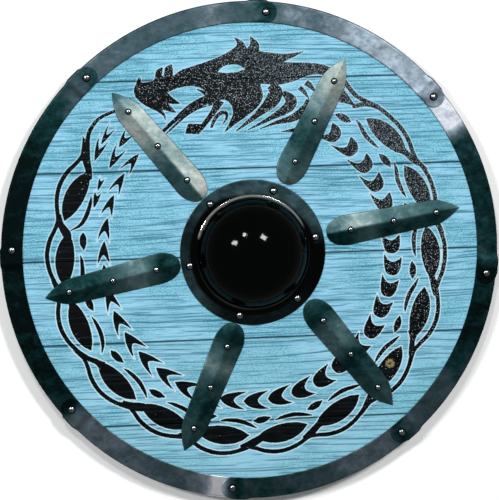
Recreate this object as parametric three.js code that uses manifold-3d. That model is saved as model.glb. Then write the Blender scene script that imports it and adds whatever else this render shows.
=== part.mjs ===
// A round plank shield lying face up: six boards, a riveted rim of folded steel strips, six spear-shaped
// blades, a domed boss over the hand hole, and a grip bar with two battens behind.
// Millimetres, +Z out of the shield's face, boards along X, origin under the middle of the whole.
import * as THREE from "three";
import { mergeVertices } from "three/addons/utils/BufferGeometryUtils.js";
import Module from "manifold-3d";

const wasm = await Module();
wasm.setup();

// ---- Driving dimensions -----------------------------------------------------------------------------
const SHIELD_R = 305; // a 24 inch shield
const GAP = 0.3; // left between pieces that touch

const BOARD_R = 302.4;
const BOARD_THICK = 12;
const BOARD_JOINTS = [211.3, 103.2, -3.3, -105.4, -207.5]; // the y of each joint, from the top down
const HAND_HOLE_R = 60;

const BAR_THICK = 18; // the grip bar and the battens, which the shield lies on
const BAR_TIP = 7; // what is left of a bar's thickness at its sloped ends
const BAR_SLOPE = 46;
const BAR_CHAMFER = 2.5;
const GRIP = { x: 0, width: 27, length: 536 };
const BATTENS = [
  { name: "batten_left", x: -116, width: 40, length: 400 },
  { name: "batten_right", x: 116, width: 40, length: 400 },
];

const STEEL = 1.2; // the rim's sheet
const RIM_FRONT = 26; // width of the rim on the front
const RIM_BACK = 20; // and on the back
const RIM_FOLD_R = 2.4; // outside radius of the folds
const RIM_RIVET_R = 292;
const RIM_RIVETS = [132, 85.5, 39, -7, -52, -96.5, -141, -182.5]; // degrees, clockwise
const RIM_UNDER = 2.6; // degrees that a strip's tail runs on under its neighbour's tongue
const RIM_CLEAR = 0.5; // degrees between the end of that tail and the foot of the climb over it
const RIM_RAMP = 1.8; // degrees over which a strip climbs on to its neighbour
const RIM_LIFT = STEEL + GAP;
const TONGUE_R = RIM_FRONT / 2 + 0.2;

const BOSS_R = 89.2;
const BOSS_STEEL = 1.8;
const DOME_R = 68;
const DOME_RISE = 45;
const DOME_FOOT = 5; // height of the fillet between flange and dome
const BOSS_RIVET_R = 79;
const BOSS_RIVETS = [130, 70, 12, -47.5, -103.5, -170]; // degrees

const BLADE_HALF = 84.4;
const BLADE_STEEL = 1.4;
const BLADE_RIDGE = 2.8; // rise of the ridge over the edges where the blade is widest
const BLADE_WIDE = 18.6; // half width at the shoulder near the boss
const BLADE_NARROW = 15.6; // half width where the point starts
const BLADE_BUTT = 27; // length of the rounded butt
const BLADE_POINT = 33; // length of the point
const BLADE_BLUNT = 0.3; // both ends stop this far short of a true point
const RIVET_PITCH = 54.3; // between the three rivets of a blade
// turn: the way the blade points, in degrees; middle: its middle rivet's distance along that line;
// aside: how far the line passes to the left of the shield's centre.
const BLADES = [
  { turn: 129.1, middle: 174.2, aside: 3.4 },
  { turn: 62.5, middle: 176.4, aside: 2.7 },
  { turn: 9.4, middle: 177.5, aside: 4.3 },
  { turn: -52.1, middle: 174.7, aside: 13.3 },
  { turn: -113.8, middle: 172.8, aside: 14.2 },
  { turn: -167.5, middle: 173.8, aside: -9.4 },
];

const BIG_RIVET = { head: 5, rise: 3.2, shank: 2.4, clench: 4 };
const SMALL_RIVET = { head: 4, rise: 2.7, shank: 1.9, clench: 3.3 };
const CLENCH_THICK = 1.5;
const COUNTERBORE = { radius: 5, depth: 4 };

const RIM_STEP = 7.5; // degrees between the rim's facets
const BOSS_SIDES = 32;
const TONGUE_SIDES = 16;
const HOLE_SIDES = 6;
const RIVET_SIDES = 8;

// ---- Levels -----------------------------------------------------------------------------------------
const BOARD_BACK = BAR_THICK + GAP;
const BOARD_FRONT = BOARD_BACK + BOARD_THICK;
const ON_BOARD = BOARD_FRONT + GAP;
const UNDER_BOARD = BOARD_BACK - GAP;
const TALL = 200; // a cutter that reaches through everything

// ---- Materials --------------------------------------------------------------------------------------
const finish = (color, roughness, metalness) =>
  new THREE.MeshStandardMaterial({ color, roughness, metalness });
const painted = finish(0x7fc0da, 0.6, 0);
const pine = finish(0xb98d5c, 0.7, 0);
const darkSteel = finish(0x4a5658, 0.45, 0.9);
const greySteel = finish(0x8a9494, 0.4, 0.9);
const enamel = finish(0x07090a, 0.12, 0.2);
const blackIron = finish(0x1b1e1f, 0.3, 0.9);

// ---- Helpers ----------------------------------------------------------------------------------------
const rad = THREE.MathUtils.degToRad;
const deg = THREE.MathUtils.radToDeg;
const polar = (radius, degrees) =>
  new THREE.Vector2(radius * Math.cos(rad(degrees)), radius * Math.sin(rad(degrees)));
const steps = (count) => Array.from({ length: count + 1 }, (_, i) => i / count);

// A geometry as a solid that can be cut.
function solid(geometry) {
  const bare = geometry.clone();
  bare.deleteAttribute("normal");
  bare.deleteAttribute("uv");
  const merged = mergeVertices(bare, 1e-4);
  return new wasm.Manifold(
    new wasm.Mesh({
      numProp: 3,
      vertProperties: new Float32Array(merged.attributes.position.array),
      triVerts: new Uint32Array(merged.index.array),
    }),
  );
}

// A solid as a geometry again.
function geometryOf(made) {
  const mesh = made.getMesh();
  const geometry = new THREE.BufferGeometry();
  geometry.setAttribute("position", new THREE.BufferAttribute(mesh.vertProperties, 3));
  geometry.setIndex(new THREE.BufferAttribute(mesh.triVerts, 1));
  geometry.computeVertexNormals();
  return geometry;
}

// The geometry with every cutter taken away.
function cut(geometry, cutters) {
  return geometryOf(cutters.reduce((made, cutter) => made.subtract(solid(cutter)), solid(geometry)));
}

// An upright prism about a point of the plan, between two heights. A circle of `radius` just fits in it.
function post(at, radius, low = -TALL, high = TALL, sides = HOLE_SIDES) {
  const corner = radius / Math.cos(Math.PI / sides);
  const cylinder = new THREE.CylinderGeometry(corner, corner, high - low, sides);
  return cylinder.rotateX(Math.PI / 2).translate(at.x, at.y, (low + high) / 2);
}

// A profile of (radius, height) points turned about Z, given from the bottom on the axis to the top on it.
function turned(points, sides) {
  return new THREE.LatheGeometry(points, sides).rotateX(Math.PI / 2);
}

// A closed skin over rings of [x, y, z] points, which run anticlockwise seen from the last ring's side.
// `panels` are the triangles that close an end, as places in a ring.
function skin(rings, panels) {
  const count = rings[0].length;
  const last = (rings.length - 1) * count;
  const index = [];
  for (let start = 0; start < last; start += count) {
    for (let i = 0; i < count; i++) {
      const a = start + i;
      const b = start + ((i + 1) % count);
      index.push(a, b, b + count, a, b + count, a + count);
    }
  }
  for (const [a, b, c] of panels) index.push(a, c, b, last + a, last + b, last + c);
  const geometry = new THREE.BufferGeometry();
  geometry.setAttribute("position", new THREE.Float32BufferAttribute(rings.flat(2), 3));
  geometry.setIndex(index);
  return geometry;
}

const shield = new THREE.Group();
function add(name, geometry, material) {
  const mesh = new THREE.Mesh(geometry, material.clone());
  mesh.name = name;
  shield.add(mesh);
  return mesh;
}

// ---- Where the rivets are ---------------------------------------------------------------------------
const rimSpots = RIM_RIVETS.map((angle) => polar(RIM_RIVET_R, angle));
const bossSpots = BOSS_RIVETS.map((angle) => polar(BOSS_RIVET_R, angle));
// A point of a blade, `along` towards its tip from its middle rivet.
function bladeSpot({ turn, middle, aside }, along) {
  return polar(middle + along, turn).add(polar(aside, turn + 90));
}
const bladeSpots = BLADES.map((blade) =>
  [1, 0, -1].map((place) => bladeSpot(blade, place * RIVET_PITCH)),
);
const goesThrough = ({ x, width, length }, at) =>
  Math.abs(at.x - x) < width / 2 && Math.abs(at.y) < length / 2;

// ---- Planks -----------------------------------------------------------------------------------------
// A plank is the strip of the round board between two joints: its two ends are arcs of the circle.
function plank(low, high) {
  const first = deg(Math.asin(low / BOARD_R));
  const last = deg(Math.asin(high / BOARD_R));
  const facets = Math.ceil((last - first) / RIM_STEP);
  const right = steps(facets).map((t) => polar(BOARD_R, first + (last - first) * t));
  const left = right.map(({ x, y }) => new THREE.Vector2(-x, y)).reverse();
  const shape = new THREE.Shape([...right, ...left]);
  const made = new THREE.ExtrudeGeometry(shape, { depth: BOARD_THICK, bevelEnabled: false });
  return made.translate(0, 0, BOARD_BACK);
}

const boardHoles = [
  post(new THREE.Vector2(), HAND_HOLE_R, -TALL, TALL, BOSS_SIDES),
  ...[...rimSpots, ...bossSpots].map((at) => post(at, BIG_RIVET.shank + GAP)),
  ...bladeSpots.flat().map((at) => post(at, SMALL_RIVET.shank + GAP)),
];
const edges = [BOARD_R, ...BOARD_JOINTS, -BOARD_R];
for (let i = 0; i < BOARD_JOINTS.length + 1; i++) {
  const board = plank(edges[i + 1] + GAP / 2, edges[i] - GAP / 2);
  add(`plank_${i + 1}`, cut(board, boardHoles), painted);
}

// ---- Rim --------------------------------------------------------------------------------------------
// The section of a strip in (radius, height): a U round the board's edge, moved out by `lift` all round.
function rimSection(lift) {
  const top = ON_BOARD + STEEL + lift;
  const bottom = UNDER_BOARD - STEEL - lift;
  const outer = SHIELD_R + lift;
  const fold = (height, side) =>
    steps(2).map((t) => {
      const angle = (side * t * Math.PI) / 2;
      const drop = side * (RIM_FOLD_R - RIM_FOLD_R * Math.sin(side * angle));
      return [outer - RIM_FOLD_R + RIM_FOLD_R * Math.cos(angle), height - drop];
    });
  return [
    [SHIELD_R - RIM_FRONT, top],
    ...fold(top, 1).reverse(),
    ...fold(bottom, -1),
    [SHIELD_R - RIM_BACK, bottom],
    [SHIELD_R - RIM_BACK, bottom + STEEL],
    [outer - STEEL, bottom + STEEL],
    [outer - STEEL, top - STEEL],
    [SHIELD_R - RIM_FRONT, top - STEEL],
  ];
}

// The triangles that close the U at the end of a strip: leg, fold, edge, fold and leg.
const RIM_END = [
  [0, 1, 10],
  [0, 10, 11],
  [1, 2, 10],
  [2, 3, 10],
  [3, 4, 9],
  [3, 9, 10],
  [4, 5, 9],
  [5, 6, 9],
  [6, 7, 8],
  [6, 8, 9],
];

// A strip runs clockwise from under its neighbour's tongue at `from` to its own tongue at `to`.
function rimStrip(from, to) {
  const onTop = to + RIM_UNDER + RIM_CLEAR;
  const rampFoot = onTop + RIM_RAMP;
  const start = from + RIM_UNDER;
  const facets = Math.ceil((start - rampFoot) / RIM_STEP);
  const flat = steps(facets).map((t) => [start + (rampFoot - start) * t, 0]);
  const end = to - deg(TONGUE_R / RIM_RIVET_R) - RIM_CLEAR;
  const stations = [...flat, [onTop, RIM_LIFT], [end, RIM_LIFT]].reverse();
  const rings = stations.map(([angle, lift]) =>
    rimSection(lift).map(([radius, height]) => {
      const at = polar(radius, angle);
      return [at.x, at.y, height];
    }),
  );
  return skin(rings, RIM_END);
}

// What is cut off the end of a strip to leave a round tongue about the rivet at `angle`.
function tongueCutter(angle) {
  const wide = 2 * RIM_FRONT;
  const block = new THREE.BoxGeometry(wide, wide, TALL).translate(0, -wide / 2, 0);
  const round = post(new THREE.Vector2(), TONGUE_R, -TALL, TALL, TONGUE_SIDES);
  return cut(block, [round]).translate(SHIELD_R - RIM_FRONT / 2, 0, 0).rotateZ(rad(angle));
}

const rimHoles = rimSpots.map((at) => post(at, BIG_RIVET.shank + GAP));
for (let i = 0; i < RIM_RIVETS.length; i++) {
  const from = RIM_RIVETS[i];
  const to = i + 1 < RIM_RIVETS.length ? RIM_RIVETS[i + 1] : RIM_RIVETS[0] - 360;
  const strip = cut(rimStrip(from, to), [tongueCutter(to), ...rimHoles]);
  add(`rim_strip_${i + 1}`, strip, darkSteel);
}

// ---- Boss -------------------------------------------------------------------------------------------
// The boss in section, bottom of the flange to the crown: a flat flange, a fillet and half an ellipse.
function bossProfile() {
  const at = (r, z) => new THREE.Vector2(r, ON_BOARD + z);
  const dome = (radius, rise, foot, rings) =>
    steps(rings).map((t) => {
      const angle = (t * Math.PI) / 2;
      return at(t === 1 ? 0 : radius * Math.cos(angle), foot + rise * Math.sin(angle));
    });
  const inner = dome(DOME_R - BOSS_STEEL, DOME_RISE - BOSS_STEEL, DOME_FOOT, 5).reverse();
  const outer = dome(DOME_R, DOME_RISE, DOME_FOOT, 6);
  const flange = [at(DOME_R, 0), at(BOSS_R, 0), at(BOSS_R, BOSS_STEEL)];
  const fillet = [at(DOME_R + DOME_FOOT, BOSS_STEEL), at(DOME_R + DOME_FOOT / 3, DOME_FOOT / 2)];
  return [...inner, ...flange, ...fillet, ...outer];
}
const bossHoles = bossSpots.map((at) => post(at, BIG_RIVET.shank + GAP));
add("boss", cut(turned(bossProfile(), BOSS_SIDES), bossHoles), enamel);

// ---- Blades -----------------------------------------------------------------------------------------
// Half the width of a blade at `along` from its middle: an elliptical butt, a slow taper and an ogival point.
function bladeHalfWidth(along) {
  const shoulder = -BLADE_HALF + BLADE_BUTT;
  const neck = BLADE_HALF - BLADE_POINT;
  if (along < shoulder) return BLADE_WIDE * (1 - ((shoulder - along) / BLADE_BUTT) ** 2) ** 0.45;
  if (along > neck) return BLADE_NARROW * (1 - ((along - neck) / BLADE_POINT) ** 1.6);
  return THREE.MathUtils.mapLinear(along, shoulder, neck, BLADE_WIDE, BLADE_NARROW);
}

// How high the ridge is above the edges, at `along` from the blade's middle.
const ridgeRise = (along) => (BLADE_RIDGE * bladeHalfWidth(along)) / BLADE_WIDE;

// The triangles that close the bent sheet at its two blunt ends.
const BLADE_END = [
  [0, 1, 4],
  [0, 4, 5],
  [1, 2, 3],
  [1, 3, 4],
];

// A bent sheet: at each station a left edge, a ridge and a right edge, above and below.
function bladeSheet() {
  const butt = steps(4).map((t) => -BLADE_HALF + BLADE_BLUNT + (BLADE_BUTT - BLADE_BLUNT) * t ** 1.5);
  const point = steps(5).map((t) => BLADE_HALF - BLADE_POINT + (BLADE_POINT - BLADE_BLUNT) * t);
  const rings = [...butt, ...point].map((along) => {
    const half = bladeHalfWidth(along);
    const ridge = ridgeRise(along);
    return [
      [along, -half, 0],
      [along, 0, ridge],
      [along, half, 0],
      [along, half, BLADE_STEEL],
      [along, 0, ridge + BLADE_STEEL],
      [along, -half, BLADE_STEEL],
    ];
  });
  return skin(rings, BLADE_END);
}

BLADES.forEach((blade, i) => {
  const places = [1, 0, -1].map((place) => new THREE.Vector2(place * RIVET_PITCH, 0));
  const holes = places.map((at) => post(at, SMALL_RIVET.shank + GAP));
  const mesh = add(`blade_${i + 1}`, cut(bladeSheet(), holes), greySteel);
  const middle = bladeSpot(blade, 0);
  mesh.position.set(middle.x, middle.y, ON_BOARD);
  mesh.rotation.z = rad(blade.turn);
});

// ---- Rivets -----------------------------------------------------------------------------------------
// A domed head on `seat`, a shank through everything, and a clenched washer end that stops at `foot`.
function rivet({ head, rise, shank, clench }, at, seat, foot) {
  const under = foot + CLENCH_THICK;
  const profile = [
    new THREE.Vector2(0, foot),
    new THREE.Vector2(clench, foot),
    new THREE.Vector2(shank, under),
    new THREE.Vector2(shank, seat),
    new THREE.Vector2(head, seat),
    new THREE.Vector2(head * 0.66, seat + rise * 0.72),
    new THREE.Vector2(0, seat + rise),
  ];
  return turned(profile, RIVET_SIDES).translate(at.x, at.y, 0);
}

const rimSeat = ON_BOARD + STEEL + RIM_LIFT + GAP;
const rimFoot = UNDER_BOARD - STEEL - RIM_LIFT - GAP - CLENCH_THICK;
const boardFoot = UNDER_BOARD - CLENCH_THICK;
const battenFoot = COUNTERBORE.depth - GAP - CLENCH_THICK;
rimSpots.forEach((at, i) => add(`rim_rivet_${i + 1}`, rivet(BIG_RIVET, at, rimSeat, rimFoot), blackIron));
bossSpots.forEach((at, i) =>
  add(`boss_rivet_${i + 1}`, rivet(BIG_RIVET, at, ON_BOARD + BOSS_STEEL + GAP, boardFoot), blackIron),
);
bladeSpots.forEach((spots, i) =>
  spots.forEach((at, j) => {
    const seat = ON_BOARD + BLADE_STEEL + ridgeRise((1 - j) * RIVET_PITCH) + GAP;
    const foot = BATTENS.some((batten) => goesThrough(batten, at)) ? battenFoot : boardFoot;
    add(`blade_${i + 1}_rivet_${j + 1}`, rivet(SMALL_RIVET, at, seat, foot), blackIron);
  }),
);

// ---- Grip bar and battens ---------------------------------------------------------------------------
// A bar along Y, flat underneath, with its ends sloped off and its long edges chamfered.
function bar({ x, width, length }) {
  const half = length / 2;
  const shape = new THREE.Shape([
    new THREE.Vector2(half, BAR_THICK),
    new THREE.Vector2(-half, BAR_THICK),
    new THREE.Vector2(-half, BAR_THICK - BAR_TIP),
    new THREE.Vector2(-half + BAR_SLOPE, 0),
    new THREE.Vector2(half - BAR_SLOPE, 0),
    new THREE.Vector2(half, BAR_THICK - BAR_TIP),
  ]);
  const made = new THREE.ExtrudeGeometry(shape, {
    depth: width - 2 * BAR_CHAMFER,
    bevelThickness: BAR_CHAMFER,
    bevelSize: BAR_CHAMFER,
    bevelOffset: -BAR_CHAMFER,
    bevelSegments: 1,
  });
  const alongY = new THREE.Matrix4().makeBasis(
    new THREE.Vector3(0, 1, 0),
    new THREE.Vector3(0, 0, 1),
    new THREE.Vector3(1, 0, 0),
  );
  return made.applyMatrix4(alongY).translate(x - width / 2 + BAR_CHAMFER, 0, 0);
}

add("grip_bar", bar(GRIP), pine);
for (const batten of BATTENS) {
  const through = bladeSpots.flat().filter((at) => goesThrough(batten, at));
  const holes = through.flatMap((at) => [
    post(at, SMALL_RIVET.shank + GAP),
    post(at, COUNTERBORE.radius, -TALL, COUNTERBORE.depth, RIVET_SIDES),
  ]);
  add(batten.name, cut(bar(batten), holes), pine);
}

// ---- The origin goes under the middle of the whole --------------------------------------------------
shield.updateMatrixWorld(true);
const middle = new THREE.Box3().setFromObject(shield, true).getCenter(new THREE.Vector3());
shield.position.set(-middle.x, -middle.y, 0);

export default shield;
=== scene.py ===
# %% [markdown]
# # A round plank shield with a painted ring serpent
#
# The real object is six pine boards held between a folded steel rim, a domed boss and six riveted
# blades, with a grip bar and two battens behind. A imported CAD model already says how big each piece
# is and where it sits. This lesson dresses that model: every CAD piece gets a finer surface in the
# same place, and a material that behaves like the real finish.
#
# Three ways were open: keep the CAD meshes and only shade them, sculpt by hand, or work each surface
# out as a formula with numpy. The third was chosen, because a formula keeps the size exact, can be
# read again later and gives the same mesh on each run.

# %% Load the frame
import bpy
import numpy as np
from mathutils import Matrix, Vector


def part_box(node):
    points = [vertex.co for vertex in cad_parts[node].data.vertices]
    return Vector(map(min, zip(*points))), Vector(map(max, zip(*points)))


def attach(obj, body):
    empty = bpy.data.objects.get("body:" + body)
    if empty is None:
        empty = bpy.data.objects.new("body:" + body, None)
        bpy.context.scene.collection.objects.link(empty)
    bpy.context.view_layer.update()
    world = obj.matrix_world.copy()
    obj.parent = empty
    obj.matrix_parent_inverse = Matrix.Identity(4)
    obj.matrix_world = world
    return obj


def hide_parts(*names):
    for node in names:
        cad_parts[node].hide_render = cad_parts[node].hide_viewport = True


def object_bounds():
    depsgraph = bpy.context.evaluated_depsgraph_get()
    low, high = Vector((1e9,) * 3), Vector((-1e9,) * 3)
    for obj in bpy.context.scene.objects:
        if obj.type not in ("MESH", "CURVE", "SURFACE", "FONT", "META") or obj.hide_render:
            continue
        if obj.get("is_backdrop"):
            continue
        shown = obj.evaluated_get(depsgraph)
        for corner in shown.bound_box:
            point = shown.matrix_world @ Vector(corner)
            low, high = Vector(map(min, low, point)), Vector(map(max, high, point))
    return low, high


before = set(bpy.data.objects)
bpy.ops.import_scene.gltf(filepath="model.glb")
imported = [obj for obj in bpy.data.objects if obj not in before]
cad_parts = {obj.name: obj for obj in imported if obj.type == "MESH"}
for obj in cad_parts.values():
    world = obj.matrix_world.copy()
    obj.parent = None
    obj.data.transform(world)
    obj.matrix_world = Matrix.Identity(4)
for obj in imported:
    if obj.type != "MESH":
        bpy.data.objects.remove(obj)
cad_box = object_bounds()
print("CAD nodes:", len(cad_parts))

# %% [markdown]
# ## Levels and the shield's own middle
#
# Shapes are worked out in millimetres about the shield's axis, and turned into metres when they are
# put into a mesh. The axis comes from the boss, which is round, and the heights come from the boxes
# of the pieces themselves, so nothing here guesses where the CAD model is.

# %% Measure the frame
MM = 0.001
boss_low, boss_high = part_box("boss")
AXIS = (boss_low + boss_high) / 2
BOARD_BACK, BOARD_FRONT = (corner.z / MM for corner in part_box("plank_3"))
ON_BOARD = boss_low.z / MM  # the boss, the blades and the rim sit on this level
print(f"axis {AXIS.x / MM:.2f}, {AXIS.y / MM:.2f} mm; board {BOARD_BACK:.1f} to {BOARD_FRONT:.1f} mm")


def extent(node):
    """Low and high corner of a CAD node, in millimetres about the shield's axis."""
    offset = np.array([AXIS.x, AXIS.y, 0])
    return [(np.array(corner) - offset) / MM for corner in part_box(node)]


def middle(node):
    """Middle of a CAD node's box in the plan, in millimetres about the axis."""
    low, high = extent(node)
    return (low + high)[:2] / 2


# %% [markdown]
# ## Helpers for surfaces
#
# Each surface is a grid: rows times columns of points, with four-cornered faces between them. A grid
# that closes on itself in one direction is a tube, so a board, a folded strip and a blade are all the
# same kind of thing: a closed section carried along a path, with an end cap on each end.

# %% Grids, turned shapes and smooth noise
def grid_faces(rows, columns, closed_rows=False, closed_columns=False):
    """Quads between neighbouring rows and columns; a closed direction joins its last line to its first."""
    index = np.arange(rows * columns).reshape(rows, columns)
    if closed_rows:
        index = np.vstack([index, index[:1]])
    if closed_columns:
        index = np.hstack([index, index[:, :1]])
    corners = [index[:-1, :-1], index[:-1, 1:], index[1:, 1:], index[1:, :-1]]
    return np.stack(corners, -1).reshape(-1, 4)


def turned(profile, sides):
    """A profile of (radius, height) turned about the axis: (r cos a, r sin a, h). It starts and ends at
    radius 0, where fans of triangles close the poles. It runs so that the outside is on its right."""
    profile = np.asarray(profile, float)
    angle = np.linspace(0, 2 * np.pi, sides, endpoint=False)
    ring = profile[1:-1]
    points = np.stack(
        [
            ring[:, :1] * np.cos(angle),
            ring[:, :1] * np.sin(angle),
            np.repeat(ring[:, 1:], sides, 1),
        ],
        -1,
    ).reshape(-1, 3)
    poles = np.array([[0, 0, profile[0, 1]], [0, 0, profile[-1, 1]]])
    spokes = np.arange(sides)
    after = np.roll(spokes, -1)
    last = (len(ring) - 1) * sides
    start_pole, end_pole = len(points), len(points) + 1
    first_fan = np.stack([np.full(sides, start_pole), after, spokes], -1)
    last_fan = np.stack([np.full(sides, end_pole), last + spokes, last + after], -1)
    wall = grid_faces(len(ring), sides, closed_columns=True)
    return np.vstack([points, poles]), [wall, first_fan, last_fan]


def smoothstep(low, high, value):
    """0 below low, 1 above high, and 3t^2 - 2t^3 between them."""
    t = np.clip((value - low) / (high - low), 0, 1)
    return t * t * (3 - 2 * t)


def value_noise(x, y, seed):
    """Random heights from 0 to 1 at whole (x, y), blended by smoothstep between the four round a point."""
    size = 256
    heights = np.random.default_rng(seed).random((size, size))
    column, row = np.floor(x).astype(int), np.floor(y).astype(int)
    u, v = smoothstep(0, 1, x - column), smoothstep(0, 1, y - row)
    near, far = column % size, (column + 1) % size
    low = heights[near, row % size] * (1 - u) + heights[far, row % size] * u
    high = heights[near, (row + 1) % size] * (1 - u) + heights[far, (row + 1) % size] * u
    return low * (1 - v) + high * v


# %% Put a surface into the scene
def enclosed_volume(points, faces):
    """Sum of a . (b x c) / 6 over a fan of triangles in each face: positive when faces point outwards."""
    total = 0.0
    for block in faces:
        first = points[block[:, :1]]
        second, third = points[block[:, 1:-1]], points[block[:, 2:]]
        total += (first * np.cross(second, third)).sum() / 6
    return total


def put_piece(name, points, faces, material, node, slot, **marks):
    """One finished piece: points in millimetres about the axis, faces as arrays of equal corners, and
    `marks`, which are numbers kept at each vertex for the material to read."""
    if enclosed_volume(points, faces) < 0:
        faces = [block[:, ::-1] for block in faces]
    corners = np.concatenate([block.ravel() for block in faces])
    sizes = np.concatenate([np.full(len(block), block.shape[1]) for block in faces])
    mesh = bpy.data.meshes.new(name)
    mesh.vertices.add(len(points))
    placed = points * MM + np.array([AXIS.x, AXIS.y, 0])
    mesh.vertices.foreach_set("co", placed.astype(np.float32).ravel())
    mesh.loops.add(len(corners))
    mesh.loops.foreach_set("vertex_index", corners.astype(np.int32))
    mesh.polygons.add(len(sizes))
    starts = np.concatenate([[0], np.cumsum(sizes)[:-1]])
    mesh.polygons.foreach_set("loop_start", starts.astype(np.int32))
    mesh.update(calc_edges=True)
    for mark, values in marks.items():
        layer = mesh.attributes.new(mark, "FLOAT", "POINT")
        layer.data.foreach_set("value", np.asarray(values, np.float32).ravel())
    mesh.shade_smooth()
    mesh.materials.append(material)
    made = bpy.data.objects.new(name, mesh)
    bpy.context.scene.collection.objects.link(made)
    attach(made, "root")
    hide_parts(node)
    return made


# %% [markdown]
# ## Helpers for materials
#
# Colours are written as the sRGB codes that a paint chart gives, and one function turns them into the
# linear numbers that a shader adds up. One more function puts a node into a material, sets it and
# links it, so that each material below reads as a list of what it is made of. Patterns are sized in
# millimetres, and colours are laid over each other as coats.

# %% Colour and nodes
def linear(code):
    """sRGB hex to linear RGBA: c/12.92 below 0.04045, ((c + 0.055)/1.055)^2.4 above."""
    channels = [int(code[i : i + 2], 16) / 255 for i in (1, 3, 5)]
    made = [c / 12.92 if c <= 0.04045 else ((c + 0.055) / 1.055) ** 2.4 for c in channels]
    return (*made, 1.0)


def connect(made, inputs):
    """Gives inputs of a node a value, a colour code or a link each. `inputs` is a list in the order of
    the sockets, or a dictionary by their names or numbers."""
    for key, value in inputs.items() if isinstance(inputs, dict) else enumerate(inputs):
        if isinstance(value, bpy.types.NodeSocket):
            tree.links.new(value, made.inputs[key])
        else:
            made.inputs[key].default_value = linear(value) if isinstance(value, str) else value


def add(kind, inputs=(), out=0, stops=(), **settings):
    """Adds a node to the tree in hand, with its properties, inputs and the stops of its colour ramp.
    Gives back its output `out`, or the node itself where that is None."""
    made = tree.nodes.new("ShaderNode" + kind)
    for name, value in settings.items():
        setattr(made, name, value)
    connect(made, inputs)
    for place, code in stops:
        ends = made.color_ramp.elements
        stop = ends[0] if place == 0 else ends[-1] if place == 1 else ends.new(place)
        stop.color = linear(code)
    return made if out is None else made.outputs[out]


SMOOTH = {"interpolation_type": "SMOOTHSTEP"}  # how every Map Range node below eases
A, B, OUT = 6, 7, 2  # the colour sockets of a Mix node


def new_material(name):
    """Starts a material and takes its tree in hand: `shader` is its shader, and `where` is the place
    on the object in metres."""
    global tree, shader, where
    material = bpy.data.materials.new(name)
    material.use_nodes = True
    tree = material.node_tree
    tree.nodes.clear()
    shader = add("BsdfPrincipled", out=None)
    add("OutputMaterial", {"Surface": shader.outputs["BSDF"]}, None)
    where = add("TexCoord", out="Object")
    return material


def coats(ground, layers):
    """Colours laid over a ground one after another, each with its share from 0 to 1."""
    for share, colour in layers:
        ground = add("Mix", {0: share, A: ground, B: colour}, OUT, data_type="RGBA")
    return ground


def stretched(spacing_x, spacing_y, detail=2.0, distortion=0.0, shift=0.0):
    """Noise whose patches are spacing_x by spacing_y millimetres: scale = 1 / spacing."""
    scale = [1 / (spacing * MM) for spacing in (spacing_x, spacing_y, spacing_y)]
    placed = add("Mapping", {"Vector": where, "Scale": scale, "Location": (shift, shift, 0)})
    return add("TexNoise", {"Vector": placed, "Scale": 1.0, "Detail": detail, "Distortion": distortion})

# %% [markdown]
# ## The painted serpent, drawn
#
# The boards carry a ring serpent in black: a head at the top, a row of crescent scales that turn into
# chevrons, and an outer chain of leaves that a single strand wraps. A painter would lay out one unit
# with a stencil and step it round the ring, and so does this code. Every figure is a closed outline in
# millimetres, made from a few points that a brush would pass through.
#
# A picture file could carry the drawing, but it would be one size for ever and would not follow the
# grain. Outlines stay sharp at any size, and they can be turned into a distance, as shown below.

# %% Brush strokes
def smooth_line(points, count=48):
    """Catmull-Rom curve: each span is the cubic that passes its two ends with the slope between the
    points on either side of them."""
    points = np.asarray(points, float)
    ends = np.vstack([2 * points[0] - points[1], points, 2 * points[-1] - points[-2]])
    place = np.linspace(0, len(points) - 1, count)
    span = np.minimum(place.astype(int), len(points) - 2)
    t = (place - span)[:, None]
    a, b, c, d = (ends[span + shift] for shift in range(4))
    bend = (2 * a - 5 * b + 4 * c - d) * t**2 + (3 * b - 3 * c + d - a) * t**3
    return 0.5 * (2 * b + (c - a) * t + bend)


def brush_stroke(points, widths, count=48):
    """Outline of a stroke: its line moved half its width to the left, and back along the right."""
    line = smooth_line(points, count)
    spread = np.interp(np.linspace(0, 1, count), np.linspace(0, 1, len(widths)), widths)
    half = np.maximum(np.convolve(np.pad(spread, 2, "edge"), np.ones(5) / 5, "valid"), 0.1) / 2
    way = np.gradient(line, axis=0)
    way /= np.linalg.norm(way, axis=1, keepdims=True)
    side = np.stack([-way[:, 1], way[:, 0]], -1) * half[:, None]
    return np.vstack([line + side, (line - side)[::-1]])


RING_MIDDLE = np.array([-4.0, -4.0])  # the ring was laid out by hand, a little off the shield's middle
LEAF_R = 224.0


def on_ring(along, out, angle, radius=LEAF_R):
    """The point `along` mm clockwise and `out` mm outwards of the ring at `angle` degrees:
    turn = angle - along / radius, reach = radius + out."""
    turn = np.radians(angle) - np.asarray(along, float) / radius
    reach = radius + np.asarray(out, float)
    return RING_MIDDLE + np.stack([reach * np.cos(turn), reach * np.sin(turn)], -1)


def chevron(angle, radius, length, spread, thick, blunt, facing=1, lean=0.0, skew=0.0):
    """A scale whose point is at `angle`, for u from -1 to 1 across it. Its leading edge is -length s(u):
    s = 1 - (1 - |u|^2.8)^(1/2.8) is the U of a crescent and s = 0.6 |u| + 0.4 |u|^4 the arch of an
    arrow. Its trailing edge is -thick - (length - thick) |u|^q. `lean` lengthens the inner horn, and
    `skew` moves the tails outwards."""
    u = np.linspace(-1, 1, 41)
    reach = length * (1 - lean * u)
    cup = 1 - (1 - np.abs(u) ** 2.8) ** (1 / 2.8)
    arch = 0.6 * np.abs(u) + 0.4 * u**4
    front = -reach * (blunt * cup + (1 - blunt) * arch)
    back = -thick - (reach - thick) * np.abs(u) ** (1.5 + 0.5 * blunt)
    back = np.minimum(back, front)
    out = spread * u
    along = np.concatenate([front, back[::-1][1:-1]])
    out = np.concatenate([out, out[::-1][1:-1]]) - skew * along / length
    return on_ring(facing * along, out, angle, radius)


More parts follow.
